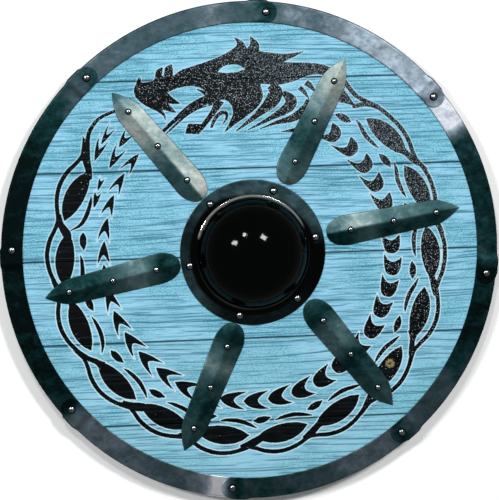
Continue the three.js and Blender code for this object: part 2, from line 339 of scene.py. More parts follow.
# %% The chain of leaves and its strand
LEAVES = [39.5, 20.0, -0.8, -20.5, -41.0, -61.8, -81.0, -100.0, -119.5, -138.5, -159.4, -180.8, -201.0]
STRAND = [
    (-56, -3), (-44, 6.5), (-30, 13.5), (-12, 20), (5, 22.3), (21, 20), (34, 15.3), (44, 13.4), (52, 16),
    (60, 20),
]
DROP = [(12, -22.5), (20, -21), (29, -20), (36, -19.5)]
rng = np.random.default_rng(7)
ink = []
for angle in LEAVES:
    tilt = np.interp(angle, [-200, -150, -60, 60], [-4.5, 0, 2.5, 4.5])
    wobble = rng.normal(0, 0.5, 3)
    along, out = np.transpose(STRAND)
    # near the head the strand lies closer to its leaves, and it starts higher
    pull = np.interp(angle, [-20, 0, 20, 40], [0, 3.5, 4.5, 3.5])
    pull = pull * np.cos(np.clip((along - 8) / 46, -1, 1) * np.pi / 2) ** 2
    pull = pull - 3.5 * (angle > 30) * np.exp(-(((along + 37) / 12) ** 2))
    t = np.linspace(0, 1, 9)
    width = (23.5 + wobble[0]) * (4 * t * (1 - t)) ** 0.78
    leaf = on_ring(-33 + 66 * t, tilt * (2 * t - 1) + wobble[1], angle)
    ink.append(brush_stroke(leaf, width, 60))
    strand = on_ring(along, out - pull + wobble[2], angle)
    ink.append(brush_stroke(strand, [5.4, 5.2, 5.0, 5.0, 5.2, 5.2, 4.8, 4.4, 2.8, 0.4], 72))
    tail = [(20, tilt * 0.5), (32, tilt + 1.5), (42, 7.5), (52, 12)]
    ink.append(brush_stroke(on_ring(*np.transpose(tail), angle), [11, 7, 4.6, 3.0], 24))
    under = [(-43, -9 - tilt), (-34, -15), (-20, -19.5), (-4, -19.8), (6, -18)]
    ink.append(brush_stroke(on_ring(*np.transpose(under), angle), [0.8, 4.2, 5.4, 4.2, 0.8], 32))
    if angle > LEAVES[-1]:
        ink.append(brush_stroke(on_ring(*np.transpose(DROP), angle), [0.6, 8, 8, 0.6], 28))
# the chain starts from under a blade, with half a leaf
ink.append(brush_stroke([(94, 206), (104, 196), (114, 187), (129, 176)], [14, 18, 16, 1], 32))
ink.append(brush_stroke(
    [(108, 218), (118.7, 203.5), (125.2, 194.5), (134, 185.4), (148.5, 178.4), (160, 174)],
    [5, 5.4, 5.4, 5.2, 4.6, 2], 48,
))
ink.append(brush_stroke(on_ring(*np.transpose(DROP) - [[11], [0]], 57.5), [0.6, 8.5, 8.5, 0.6], 28))
print("chain outlines:", len(ink))

# %% The row of scales, and the tail's ribs
PITCH = 9.15  # degrees from one scale to the next
for step in range(31):
    angle = 52.2 - PITCH * step
    blunt = np.interp(angle, [-190, -150, -105, -60, 60], [0.0, 0.08, 0.45, 1.0, 1.0])
    length = np.interp(angle, [-215, -175, -120, -60, -20, 50], [30, 31, 36, 27, 25.5, 25])
    spread = np.interp(angle, [-215, -175, -150, -120, -60, -20, 50], [7, 8, 10.5, 11, 11.8, 11, 12.2])
    thick = np.interp(angle, [-215, -175, -120, -60, -20, 20, 50], [16, 18, 17.5, 18, 17, 15, 13.5])
    lean = np.interp(angle, [-120, -60, -10, 50], [0, 0.1, 0.1, 0.32])
    radius = np.interp(angle, [-215, -205, -192, -90, -60, 0, 50], [184, 181, 178, 179, 177, 177, 179.5])
    radius += rng.normal(0, 0.6)
    angle += np.interp(angle, [-170, -100, -60, -35, -3, 25, 52], [-2.2, 0, 2.2, 3.0, 1.7, 0, -1.2])
    ink.append(chevron(angle, radius, length, spread, thick, blunt, lean=lean))
for angle, radius, length, spread, thick, skew in [
    (141.6, 225.4, 27.5, 5.2, 13.5, 4.6),
    (138.8, 206.6, 24, 6.4, 13.5, 3.8),
    (146.9, 220.9, 30, 7.0, 15.5, 7),
    (146.4, 201.1, 31, 7.2, 16, 4.1),
    (155.2, 201.1, 18, 3.4, 12.5, 2),
    (161.4, 198.1, 22, 4.4, 16, 2.3),
]:
    ink.append(chevron(angle, radius, length, spread, thick, 0, facing=-1, skew=skew))
tail_strand = [(-38, -9), (-28, -3.5), (-18, 4.2), (-6, 12.7), (6, 20.6), (17, 23.4), (29, 22.9), (46, 16)]
ink.append(brush_stroke(on_ring(*np.transpose(tail_strand), 143.0), [5, 5.6, 5.6, 5.2, 4.8, 4, 3.6], 64))
ink.append(brush_stroke([(-202, 148), (-201, 135), (-205, 118)], [0.6, 5.5, 4], 24))
print("outlines with scales and ribs:", len(ink))

# %% [markdown]
# ## The head
#
# The head is a horned wyrm's: a hooked snout with spiked teeth and two short nose horns, a long brow,
# two small horns, a spiked crest, a neck, a jaw strip, a bearded chin and a mane of crescents.
# Corners matter here, so its outline is a list of smooth runs, with a corner wherever two runs meet.

# %% The head, jaw and mane
HEAD_RUNS = [
    [(-136, 209), (-139, 201), (-137, 192), (-126, 182), (-113, 175), (-105, 169), (-101, 160)],
    [(-101, 160), (-102, 169), (-106, 177)],
    [(-106, 177), (-97, 174), (-88, 172)],
    [(-88, 172), (-95, 180), (-99, 184)],
    [(-99, 184), (-92, 183), (-83, 183)],
    [(-83, 183), (-92, 190), (-99, 197)],
    [(-99, 197), (-86, 202), (-70, 204), (-56, 200), (-49, 191), (-47, 181)],
    [(-47, 181), (-38, 186), (-29, 186), (-22, 180), (-20, 170), (-25, 158), (-32, 146)],
    [(-32, 146), (-17, 157), (-2, 167), (11, 178), (17, 190), (14, 205)],
    [(14, 205), (36, 203), (56, 207), (72, 213), (88, 214), (104, 208)],
    [(104, 208), (108, 214), (104, 221)],
    [(104, 221), (88, 227), (66, 229), (42, 230)],
    [(42, 230), (54, 235), (69, 243)],
    [(69, 243), (46, 240), (28, 242), (14, 244)],
    [(14, 244), (13, 254), (3, 263)],
    [(3, 263), (3, 253), (-1, 247)],
    [(-1, 247), (-6, 256), (-17, 262)],
    [(-17, 262), (-13, 253), (-19, 247), (-36, 238), (-60, 230), (-80, 224), (-92, 216)],
    [(-92, 216), (-91.5, 224), (-92.5, 231)],
    [(-92.5, 231), (-97, 229.5), (-101, 226.5)],
    [(-101, 226.5), (-102, 220), (-102.5, 215)],
    [(-102.5, 215), (-105, 218)],
    [(-105, 218), (-103.5, 227.5)],
    [(-103.5, 227.5), (-108, 226), (-112, 223.5)],
    [(-112, 223.5), (-113, 217), (-115, 211)],
    [(-115, 211), (-122, 210), (-130, 209.5)],
    [(-130, 209.5), (-131, 217)],
    [(-131, 217), (-134, 214), (-136, 209)],
]
ink.append(np.vstack([smooth_line(run, 5 * len(run))[:-1] for run in HEAD_RUNS]))
EYE = brush_stroke([(-37, 220), (-28, 223), (-14, 224), (-4, 223)], [0.4, 9.5, 9.5, 0.4], 32)
HEAD_STROKES = [
    ([(-36, 186), (-42, 175), (-50, 164), (-60, 152)], [12, 7.5, 6, 6]),
    ([(-44, 187), (-54, 186), (-72, 178), (-90, 164), (-108, 148)], [9, 11, 8, 5, 3.5]),
    ([(-50, 180), (-64, 176), (-78, 168), (-92, 156), (-102, 147)], [0.8, 2.8, 2.8, 2.5, 1]),
    ([(-63, 200), (-55, 196), (-49, 189), (-47, 180)], [1, 3.6, 5, 5]),
    ([(-47, 153), (-43, 162), (-36, 170), (-29, 171), (-28, 164), (-34, 156)], [3, 4.2, 4.4, 4, 3, 0.6]),
    ([(26, 202), (32, 195), (28, 184), (10, 168), (-17, 148)], [8, 18, 17, 7.5, 1]),
    ([(42, 194), (51, 184), (47, 175), (28, 164), (-3, 149)], [5, 15, 13, 6, 0.8]),
    ([(72, 184), (68, 172), (52, 162), (32, 157), (12, 150)], [4, 13, 9, 4, 0.6]),
    ([(96, 168), (86, 155), (64, 149), (38, 146)], [5, 14, 7, 0.6]),
    ([(70, 205), (76, 200), (82, 192)], [8, 6, 0.8]),
    ([(62, 199), (68, 193), (74, 184)], [6, 5, 0.8]),
]
ink += [brush_stroke(line, widths) for line, widths in HEAD_STROKES]
TUFT = [(-75, 159), (-54, 157.5), (-62, 145.5), (-79, 147)]  # the squared end of the beard
ink.append(np.array(TUFT))
print("all outlines:", len(ink))

# %% [markdown]
# ## From outlines to a distance
#
# Each point of a board keeps one number, its distance in millimetres to the nearest painted edge, with
# a minus sign inside the black. The material cuts that number at zero for the black, and a little
# outside zero for the pale line that the masking tape left. A distance blends smoothly between two
# points of the mesh, where a plain yes or no would show the mesh as steps.

# %% Signed distance to the drawing
REACH = 6.0  # millimetres past which the distance no longer matters


def signed_distance(x, y, outline, best):
    """Distance to the nearest edge segment, minus inside by the even-odd rule, merged into `best`."""
    low, high = outline.min(0) - REACH, outline.max(0) + REACH
    near = np.flatnonzero((x > low[0]) & (x < high[0]) & (y > low[1]) & (y < high[1]))
    if not near.size:
        return
    start, way = outline, np.roll(outline, -1, 0) - outline
    px, py = x[near, None], y[near, None]
    dx, dy = px - start[:, 0], py - start[:, 1]
    share = np.clip((dx * way[:, 0] + dy * way[:, 1]) / ((way**2).sum(1) + 1e-12), 0, 1)
    gap = np.hypot(dx - share * way[:, 0], dy - share * way[:, 1]).min(1)
    spans = (start[:, 1] > py) != (start[:, 1] + way[:, 1] > py)
    rise = np.where(way[:, 1] == 0, 1e-12, way[:, 1])
    crossing = spans & (dx < dy * way[:, 0] / rise)
    signed = np.where(crossing.sum(1) % 2 == 1, -gap, gap)
    best[near] = np.minimum(best[near], signed)


def distance_to_drawing(x, y):
    """The union of all the ink, with the eye taken out of it: max(union, -eye)."""
    flat_x, flat_y = x.ravel(), y.ravel()
    best = np.full(flat_x.shape, REACH)
    for outline in ink:
        signed_distance(flat_x, flat_y, outline, best)
    eye = np.full(flat_x.shape, REACH)
    signed_distance(flat_x, flat_y, EYE, eye)
    return np.maximum(best, -eye).reshape(x.shape)

# %% [markdown]
# ## Finish: painted boards
#
# The boards are sawn pine under a thin coat of sky blue milk paint. Thin paint sinks into the grooves
# between the hard rings of the wood and dries darker there, so the grain shows as fine teal lines. The
# black is brushed on over it, and towards the top and right it carries painted glints, a sparkle of fine
# pale specks, over a grey haze of painted glare.
#
# The grain could be one texture, but real streaks come in several sizes. Three stretched noises are
# laid over each other: bands 14 mm wide, streaks 1.7 mm wide and hairlines of 0.8 mm, in millimetres
# across the grain. The deepest grooves are in the mesh itself, and their depth comes to the material as
# the mark `groove`. Over one knot the paint is worn off in a small yellow ring.

# %% Blue paint and black paint
PAINTED_PINE = new_material("milk-painted sawn pine")
grit = stretched(1.7, 1.0, 1, 0.0, 11.0)
clouds = stretched(75, 38, 2, 0.0, 5.0)
bands = stretched(160, 14, 2)
streaks = stretched(60, 1.7, 2, 0.3, 3.0)
hairlines = stretched(26, 0.8, 1, 0.2, 7.0)
axes = add("SeparateXYZ", [where], None).outputs
paint, groove, arris, tint = (
    add("Attribute", out="Fac", attribute_name=name) for name in ("paint", "groove", "arris", "tint")
)
gritty = add("MapRange", [grit, 0.55, 0.6], **SMOOTH)
cloudless = add("MapRange", [clouds, 0.62, 0.42, 0.15, 0.75], **SMOOTH)

# the painted edge is made ragged, and just outside it the masking tape left a pale line
ragged = add("Math", [stretched(2.2, 1.4, 2, 0, 13.0), 1.1, -0.55], operation="MULTIPLY_ADD")
edge = add("Math", [paint, ragged], operation="ADD")
taped = add("MapRange", [axes["Y"], 0.15, -0.1, 0.4, 0.85], **SMOOTH)
for low, high in [(1.7, 1.1), (0.1, 0.4)]:
    share = add("MapRange", [edge, low, high], **SMOOTH)
    taped = add("Math", [taped, share], operation="MULTIPLY")
sky = coats("#7ab9cd", [
    (add("MapRange", [clouds, 0.32, 0.68], **SMOOTH), "#8bc0d9"),
    (add("MapRange", [bands, 0.5, 0.3, 0, 0.22], **SMOOTH), "#5c9fb8"),
    (add("MapRange", [streaks, 0.42, 0.3, 0, 0.2], **SMOOTH), "#a3d3e4"),
    (add("MapRange", [streaks, 0.58, 0.63, 0, 0.5], **SMOOTH), "#33798f"),
    (add("MapRange", [hairlines, 0.58, 0.64, 0, 0.6], **SMOOTH), "#2c7188"),
    (add("Math", [gritty, cloudless], operation="MULTIPLY"), "#2f7288"),
    (tint, "#86b4bf"),
    (add("Math", [groove, 0.8], operation="MULTIPLY"), "#1b5a70"),
    (add("MapRange", [arris, 1.9, 0.2, 0, 0.85], **SMOOTH), "#103c4a"),
    (taped, "#bdd3da"),
])

# painted glints: each cell has a colour of its own, and only cells above a limit hold a pale speck, more
# of them towards the top and right
GLINT_SPACING = 1.5
glint_cells = add("TexVoronoi", {"Vector": where, "Scale": 1 / (GLINT_SPACING * MM), "Randomness": 1.0}, None)
chance = add("SeparateColor", [glint_cells.outputs["Color"]], None).outputs
rightness = add("Math", [axes["X"], 0.8, axes["Y"]], operation="MULTIPLY_ADD")
glint_density = add("MapRange", [rightness, -0.14, 0.32, 0.005, 0.8], **SMOOTH)
glint_speck = add("Math", [glint_density, chance["Red"]], operation="GREATER_THAN")
for value, low, high, faint in [(glint_cells.outputs["Distance"], 0.4, 0.2, 0.0), (chance["Green"], 0, 1, 0.3)]:
    share = add("MapRange", [value, low, high, faint, 1.0], **SMOOTH)
    glint_speck = add("Math", [glint_speck, share], operation="MULTIPLY")
# painted glare: a grey haze over the black towards the top and right
painted_glare = add("MapRange", [stretched(2.4, 2.0, 3, 0, 23.0), 0.42, 0.62, 0, 0.5], **SMOOTH)
glare_side = add("MapRange", [rightness, 0.12, 0.34], **SMOOTH)
# black paint, with painted glare and painted glints laid over it
black = coats("#010202", [
    (add("MapRange", [stretched(14, 9, 3, 0, 19.0), 0.4, 0.7], **SMOOTH), "#05090b"),
    (add("Math", [groove, 0.35], operation="MULTIPLY"), "#14262e"),
    (add("Math", [painted_glare, glare_side], operation="MULTIPLY"), "#55666e"),
    (glint_speck, "#b4bfc3"),
])

# %% A worn knot, and the boards' shader
KNOT = (0.1675, -0.144, 0.030)  # metres
knot_gap = add("VectorMath", [where, KNOT], "Value", operation="DISTANCE")
knot_ring = add("Math", [stretched(1.8, 1.8, 2, 0, 29.0), 0.007, knot_gap], operation="MULTIPLY_ADD")
worn = add("MapRange", [grit, 0.4, 0.55, 0.3, 0.95], **SMOOTH)
for low, high, heart in [(0.0098, 0.0078, 0.0), (0.0046, 0.0062, 0.25)]:
    share = add("MapRange", [knot_ring, low, high, heart, 1.0], **SMOOTH)
    worn = add("Math", [worn, share], operation="MULTIPLY")
relief = add("Math", [hairlines, 0.6, streaks], operation="MULTIPLY_ADD")
inked = add("MapRange", [edge, 0.14, -0.14], **SMOOTH)
connect(shader, {
    "Base Color": coats(sky, [(inked, black), (worn, "#92835a")]),
    "Roughness": add("MapRange", [edge, 0.3, -0.3, 0.62, 0.5], **SMOOTH),
    "Specular IOR Level": 0.05,
    "Normal": add("Bump", {"Strength": 0.3, "Distance": 0.0003, "Height": relief}),
})
print("painted pine:", len(tree.nodes), "nodes")

# %% [markdown]
# ## Finish: bare pine
#
# The bars behind were never painted. Bare pine is straw brown, with darker late-wood lines along the
# bar some 4 mm apart, greyed a little by handling.

# %% Bare pine
BARE_PINE = new_material("oiled bare pine")
rings = stretched(4.2, 140, 3, 0.6)
fibres = stretched(0.9, 26, 2)
soiled = stretched(45, 70, 3, 0, 4.0)
connect(shader, {
    "Base Color": coats("#b58a58", [
        (add("MapRange", [rings, 0.42, 0.62], **SMOOTH), "#8d6238"),
        (add("MapRange", [fibres, 0.5, 0.7, 0, 0.4], **SMOOTH), "#6f4a28"),
        (add("MapRange", [soiled, 0.45, 0.75, 0, 0.45], **SMOOTH), "#5d4632"),
    ]),
    "Roughness": add("MapRange", [rings, 0.4, 0.65, 0.62, 0.5], **SMOOTH),
    "Normal": add("Bump", {"Strength": 0.4, "Distance": 0.0003, "Height": rings}),
})
print("bare pine:", len(tree.nodes), "nodes")

# %% [markdown]
# ## Finish: flame-blackened steel
#
# The rim and blades are mild steel, heated with a torch and rubbed with oil. Where the flame stayed,
# the scale is a green-black; where it moved on, the steel is grey with a breath of lilac. Such a finish
# has no sharp borders, so its depth is kept at the vertices as a mark, laid down where the torch went,
# and the material adds cloudy noise 17, 5 and 0.9 mm across. The same mark also holds painted sheen,
# where the steel is made lighter as if lit, and painted shade, where it is made darker as if shaded.

# %% Blackened steel
SCALE_BLACKS = [(0, "#030c0d"), (0.15, "#0b2728")]
GREY_STOPS = (0.42, 0.56, 0.7, 0.85, 1)  # the bareness at which each grey is reached
STEEL_ROUGH = 0.5  # roughness of the blackest steel


def blackened_steel(name, roughness_low, dull, pale):
    """Steel whose colour runs from scale black at bareness 0 over the two `dull` greys to the three
    `pale` greys near 1, with noise of three sizes added to the bareness. The bareness mark is partly
    real scale and partly painted sheen and shade."""
    material = new_material(name)
    smoky = stretched(5, 4.2, 3, 0.3, 2.0)
    fine = stretched(0.9, 0.9, 2, 0, 6.0)
    bare = add("Attribute", out="Fac", attribute_name="bareness")
    for noise, strength in [(stretched(17, 14, 3, 0.5), 0.42), (smoky, 0.22), (fine, 0.12)]:
        bare = add("Math", [noise, strength, bare], operation="MULTIPLY_ADD")
    bare = add("Math", [bare, 0.38], operation="SUBTRACT")  # half of the three strengths together
    dents = add("Math", [fine, 0.25, smoky], operation="MULTIPLY_ADD")
    connect(shader, {
        "Base Color": add("ValToRGB", [bare], stops=SCALE_BLACKS + list(zip(GREY_STOPS, dull + pale))),
        "Roughness": add("MapRange", [bare, 0.0, 0.9, STEEL_ROUGH, roughness_low], **SMOOTH),
        "Metallic": 0.9,
        "Specular IOR Level": 0.1,
        "Normal": add("Bump", {"Strength": 0.25, "Distance": 0.0004, "Height": dents}),
    })
    print(name + ":", len(tree.nodes), "nodes")
    return material


RIM_STEEL = blackened_steel(
    "flame-blackened rim steel", 0.42, ("#38474e", "#545f67"), ("#75828d", "#9aa0a9", "#c2c4c8")
)
BLADE_STEEL = blackened_steel(
    "flame-blackened blade steel", 0.46, ("#30484b", "#4c6062"), ("#6c7876", "#8f9490", "#b4b6b1")
)

# %% [markdown]
# ## Finish: black enamel and iron
#
# The boss is pressed steel, dipped in black enamel. Its dome is smooth and glossy, so it shows small
# clear highlights, while its flange was rubbed to a satin, so it spreads them. One mark says how much of
# the coat is left, and also paints shade: the flange is darker next to the dome and on all but its top.
# Another mark is a painted highlight, a bright arc along the top of the bend. The rivets are blackened
# iron, polished on top by the hammer that set them, with a black ring of painted shade round the foot
# of each head.

# %% Enamel and iron
ENAMEL = new_material("black stove enamel")
# the first mark is the coat with painted shade in it, the second a painted highlight on the bend
gloss, rubbed = (add("Attribute", out="Fac", attribute_name=name) for name in ("gloss", "rubbed"))
smooth_coat_and_highlight = add("Math", [gloss, rubbed], operation="MAXIMUM")
thin = add("MapRange", [gloss, 0.0, 0.6, 0.9, 0.0], **SMOOTH)
connect(shader, {
    "Base Color": coats("#22363a", [
        (add("MapRange", [stretched(16, 13, 3, 0.4), 0.35, 0.7], **SMOOTH), "#3a5156"),
        (gloss, "#010202"),
        (rubbed, "#c3c5c1"),
    ]),
    "Roughness": add("MapRange", [smooth_coat_and_highlight, 0.0, 1.0, 0.36, 0.06], **SMOOTH),
    "Metallic": add("Math", [thin, rubbed], operation="MAXIMUM"),
    "Specular IOR Level": 0.07,
    "Normal": add("Bump", {"Strength": 0.35, "Distance": 0.0003, "Height": stretched(6, 6, 2)}),
})
print("enamel:", len(tree.nodes), "nodes")

RIVET_IRON = new_material("blackened rivet iron")
hammered = stretched(2.2, 2.2, 2)
# painted shade: a black ring round the foot of each head
foot = add("Attribute", out="Fac", attribute_name="foot")
connect(shader, {
    "Base Color": coats("#5e6669", [
        (add("MapRange", [hammered, 0.35, 0.7], **SMOOTH), "#949b9e"),
        (foot, "#020405"),
    ]),
    "Roughness": add("MapRange", [foot, 0.0, 1.0, 0.2, 0.6], **SMOOTH),
    "Metallic": 1.0,
    "Normal": add("Bump", {"Strength": 0.25, "Distance": 0.0003, "Height": hammered}),
})
print("rivet iron:", len(tree.nodes), "nodes")

# %% [markdown]
# ## The six boards
#
# A board is a tube: its section runs over the front from one long edge to the other and back along the
# rear, and it is carried from left to right. Its ends follow the circle, so each row of the front has
# its own length: x goes from -sqrt(R^2 - y^2) to +sqrt(R^2 - y^2). The two middle boards also go round
# the hand hole, so their inner edge is bent to y = sqrt(r^2 - x^2) there.
#
# The grain is cut into the surface as real grooves, up to a quarter of a millimetre deep. A bump in
# the material would look alike from the front, but the mesh is what a caliper or a printer gets.

# %% Board shapes
BOARD_R = extent("plank_3")[1][0]  # half the widest board is the round board's radius
HAND_HOLE_R = 60.0
ARRIS = 1.1  # radius of a board's rounded long edges
GROOVE = 0.25  # deepest groove of the grain
PAINT_FILM = 0.08
ROW_STEP, COLUMN_STEP = 0.75, 1.55


def board_columns(y_low, y_high):
    """Shares of a board's length from -1 to 1, with lines on both sides of the hand hole's corners."""
    widest = np.sqrt(BOARD_R**2 - min(abs(y_low), abs(y_high), key=abs) ** 2)
    if min(abs(y_low), abs(y_high)) > HAND_HOLE_R:
        return np.linspace(-1, 1, int(2 * widest / COLUMN_STEP))
    hole = HAND_HOLE_R / BOARD_R
    outside = np.linspace(hole + 1e-4, 1, int((BOARD_R - HAND_HOLE_R) / COLUMN_STEP))
    inside = hole * np.sin(np.linspace(-np.pi / 2, np.pi / 2, int(2.2 * HAND_HOLE_R / COLUMN_STEP)))
    return np.concatenate([-outside[::-1], inside, outside])


def board_edges(x, y_low, y_high):
    """The two long edges at each x, moved round the hand hole where the board meets it."""
    hole = np.sqrt(np.maximum(HAND_HOLE_R**2 - x**2, 0))
    low, high = np.full_like(x, y_low), np.full_like(x, y_high)
    reaches = np.abs(x) < HAND_HOLE_R + 1e-6
    if abs(y_low) < 10:
        low = np.where(reaches, np.maximum(low, hole), low)
    if abs(y_high) < 10:
        high = np.where(reaches, np.minimum(high, -hole), high)
    return low, high


def grain(x, y, seed):
    """Groove depth from 0 to 1. The board's height is warped by broad noise and cut into rings, and each
    ring has one thin line that comes and goes along it: depth = step(distance to line) * presence."""
    drift = y + 9 * value_noise(x / 190, y / 60, seed) + 2.5 * value_noise(x / 60, y / 25, seed + 1)
    lines = np.zeros_like(drift)
    for place, (pitch, length, limit) in enumerate([(5.3, 62, 0.5), (8.9, 95, 0.42), (3.7, 34, 0.66)]):
        rings = drift / pitch + 0.4 * value_noise(x / 80, y / 9, seed + 4 + place)
        ring_number = np.floor(rings)
        gap = np.abs(rings - ring_number - 0.5) * pitch
        presence = value_noise(x / length, ring_number * 7.31 + 0.5, seed + 8 + place)
        line = smoothstep(0.95, 0.15, gap) * smoothstep(limit, limit + 0.2, presence)
        lines = np.maximum(lines, line)
    return lines


def board(number):
    """Front rows, rounded edges and back rows make the section; columns carry it from end to end."""
    node = f"plank_{number}"
    low, high = extent(node)
    y_low, y_high = low[1], high[1]
    share = board_columns(y_low, y_high)
    rows = int((y_high - y_low) / ROW_STEP)
    turn = np.linspace(0, np.pi / 2, 4)
    rounding = ARRIS * (1 - np.cos(turn))
    sink = ARRIS * (1 - np.sin(turn))
    inner = np.linspace(0, 1, rows)[1:-1]
    back_inner = np.linspace(1, 0, 9)[1:-1]
    # each row is a share of the way across plus a step in millimetres from that edge
    across = np.concatenate([np.zeros(4), inner, np.ones(4), np.ones(4), back_inner, np.zeros(4)])
    step = np.concatenate([rounding, ARRIS * (1 - 2 * inner), -rounding[::-1]])
    step = np.concatenate([step, -rounding, ARRIS * (1 - 2 * back_inner), rounding[::-1]])
    drop = np.concatenate([sink, np.zeros(len(inner)), sink[::-1]])
    rise = np.concatenate([sink, np.zeros(len(back_inner)), sink[::-1]])
    on_front = np.arange(len(across)) < len(drop)

    # two passes: the length of a row needs y, and the edges at the hand hole need x
    plain = y_low + across * (y_high - y_low) + step
    x = np.sqrt(BOARD_R**2 - plain**2)[:, None] * share[None, :]
    edge_low, edge_high = board_edges(x, y_low, y_high)
    y = edge_low + across[:, None] * (edge_high - edge_low) + step[:, None]
    groove = grain(x, y, 20 * number) * on_front[:, None]
    paint = np.full(x.shape, REACH)
    front = slice(0, len(drop))
    paint[front] = distance_to_drawing(x[front], y[front])
    arris = np.minimum(y - edge_low, edge_high - y)
    film = PAINT_FILM * smoothstep(0.2, -0.2, paint)
    z = np.concatenate([BOARD_FRONT - drop, BOARD_BACK + rise])[:, None] + 0 * x
    z -= on_front[:, None] * (PAINT_FILM - film + GROOVE * groove)

    count, width = x.shape
    points = np.stack([x, y, z], -1).reshape(-1, 3)
    faces = [grid_faces(count, width, closed_rows=True)]
    ring = np.arange(count) * width
    faces += [ring[None, :], (ring + width - 1)[None, ::-1]]
    tint = np.full(x.shape, BOARD_TINT[number - 1])
    made = put_piece(
        f"painted_board_{number}", points, faces, PAINTED_PINE, node, "painted_wood",
        paint=paint, groove=groove, arris=np.where(on_front[:, None], arris, 9.0), tint=tint,
    )
    print(f"{made.name}: {2 * count * width} triangles, y {y_low:.1f} to {y_high:.1f} mm")


BOARD_TINT = [0.05, 0.0, 0.04, 0.08, 0.22, 0.38]  # how far each board's blue has greyed
for number in range(1, 7):
    board(number)

# %% [markdown]
# ## The folded rim
#
# Eight strips of sheet are folded over the board's edge into a U. Each runs clockwise from under its
# neighbour's tongue to its own round tongue, which climbs on top of the next strip and takes a rivet.
#
# A strip is a tube again: the U is walked once outside and once inside, and carried round by angle.
# The tongue is round because each point of the section stops at its own angle: past the rivet by
# sqrt(t^2 - (r - 292)^2) / r, which is a circle of radius t about the rivet.

# %% Rim strips
STEEL = 1.2
FOLD_R = 2.4
RIM_R = 304.97  # a hair under 305, to stay inside the CAD model
RIM_FRONT_R, RIM_BACK_R = 279.0, 285.0
RIVET_RING = 292.0
TONGUE_R = 13.2
LIFT = 1.5
UNDER_BOARD = BOARD_BACK - 0.3
RIM_BLUNT = 0.25  # the sheared edges are this much rounded
LEG_POINTS = 17  # points across each leg of the U

# angle, and how bare the steel is there: where the torch stayed, with painted sheen and painted shade
# mixed in along the rim
RIM_BARENESS_AND_LIGHT = [
    (-180, 0.0), (-150, 0.02), (-143, 0.12), (-141.5, 0.3), (-140, 0.5), (-125, 0.47), (-108, 0.42),
    (-103, 0.65), (-101.5, 1.0), (-100, 1.2), (-98.5, 0.95), (-97, 0.5), (-95, 0.2), (-88, 0.2),
    (-80, 0.24), (-68, 0.46), (-57, 0.5), (-52.5, 0.28), (-45, 0.34), (-36, 0.32), (-28, 0.1),
    (-20, 0.02), (-10, 0.1), (0, 0.14), (10, 0.1), (26, 0.1), (28.5, 0.5), (30.5, 0.88), (36, 0.9),
    (39, 0.64), (42, 0.64), (50, 0.64), (60, 0.65), (66, 0.54), (72, 0.43), (80, 0.46), (85, 0.28),
    (88, 0.28), (94, 0.35), (99, 0.48), (104, 0.36), (115, 0.31), (129, 0.41), (133, 0.33), (140, 0.2),
    (148, 0.04), (160, -0.02), (180, 0.0),
]


def rim_section(lift):
    """The U as (radius, height): outside from the front edge round the folds to the back edge, and the
    inside one thickness in along the normal, point for point. `lift` moves the whole U outwards."""
    top = ON_BOARD + STEEL + lift
    bottom = UNDER_BOARD - STEEL - lift
    edge = RIM_R + lift
    leg = (1 - np.cos(np.linspace(0, np.pi, LEG_POINTS))) / 2
    front = RIM_FRONT_R + (edge - FOLD_R - RIM_FRONT_R) * leg
    back = (RIM_BACK_R + (edge - FOLD_R - RIM_BACK_R) * leg)[::-1]
    bend = np.linspace(0, np.pi / 2, 6)[1:-1]
    fold_r = edge - FOLD_R + FOLD_R * np.sin(bend)
    fold_z = FOLD_R * (1 - np.cos(bend))
    wall = np.linspace(top - FOLD_R, bottom + FOLD_R, 3)
    flat, still = np.ones(LEG_POINTS), np.zeros(LEG_POINTS)
    r = np.concatenate([front, fold_r, np.full(3, edge), fold_r[::-1], back])
    z = [top * flat, top - fold_z, wall, bottom + fold_z[::-1], bottom * flat]
    normal_r = [still, np.sin(bend), np.ones(3), np.sin(bend)[::-1], still]
    normal_z = [flat, np.cos(bend), np.zeros(3), -np.cos(bend)[::-1], -flat]
    outer = np.stack([r, np.concatenate(z)], -1)
    normal = np.stack([np.concatenate(normal_r), np.concatenate(normal_z)], -1)
    return outer, outer - STEEL * normal


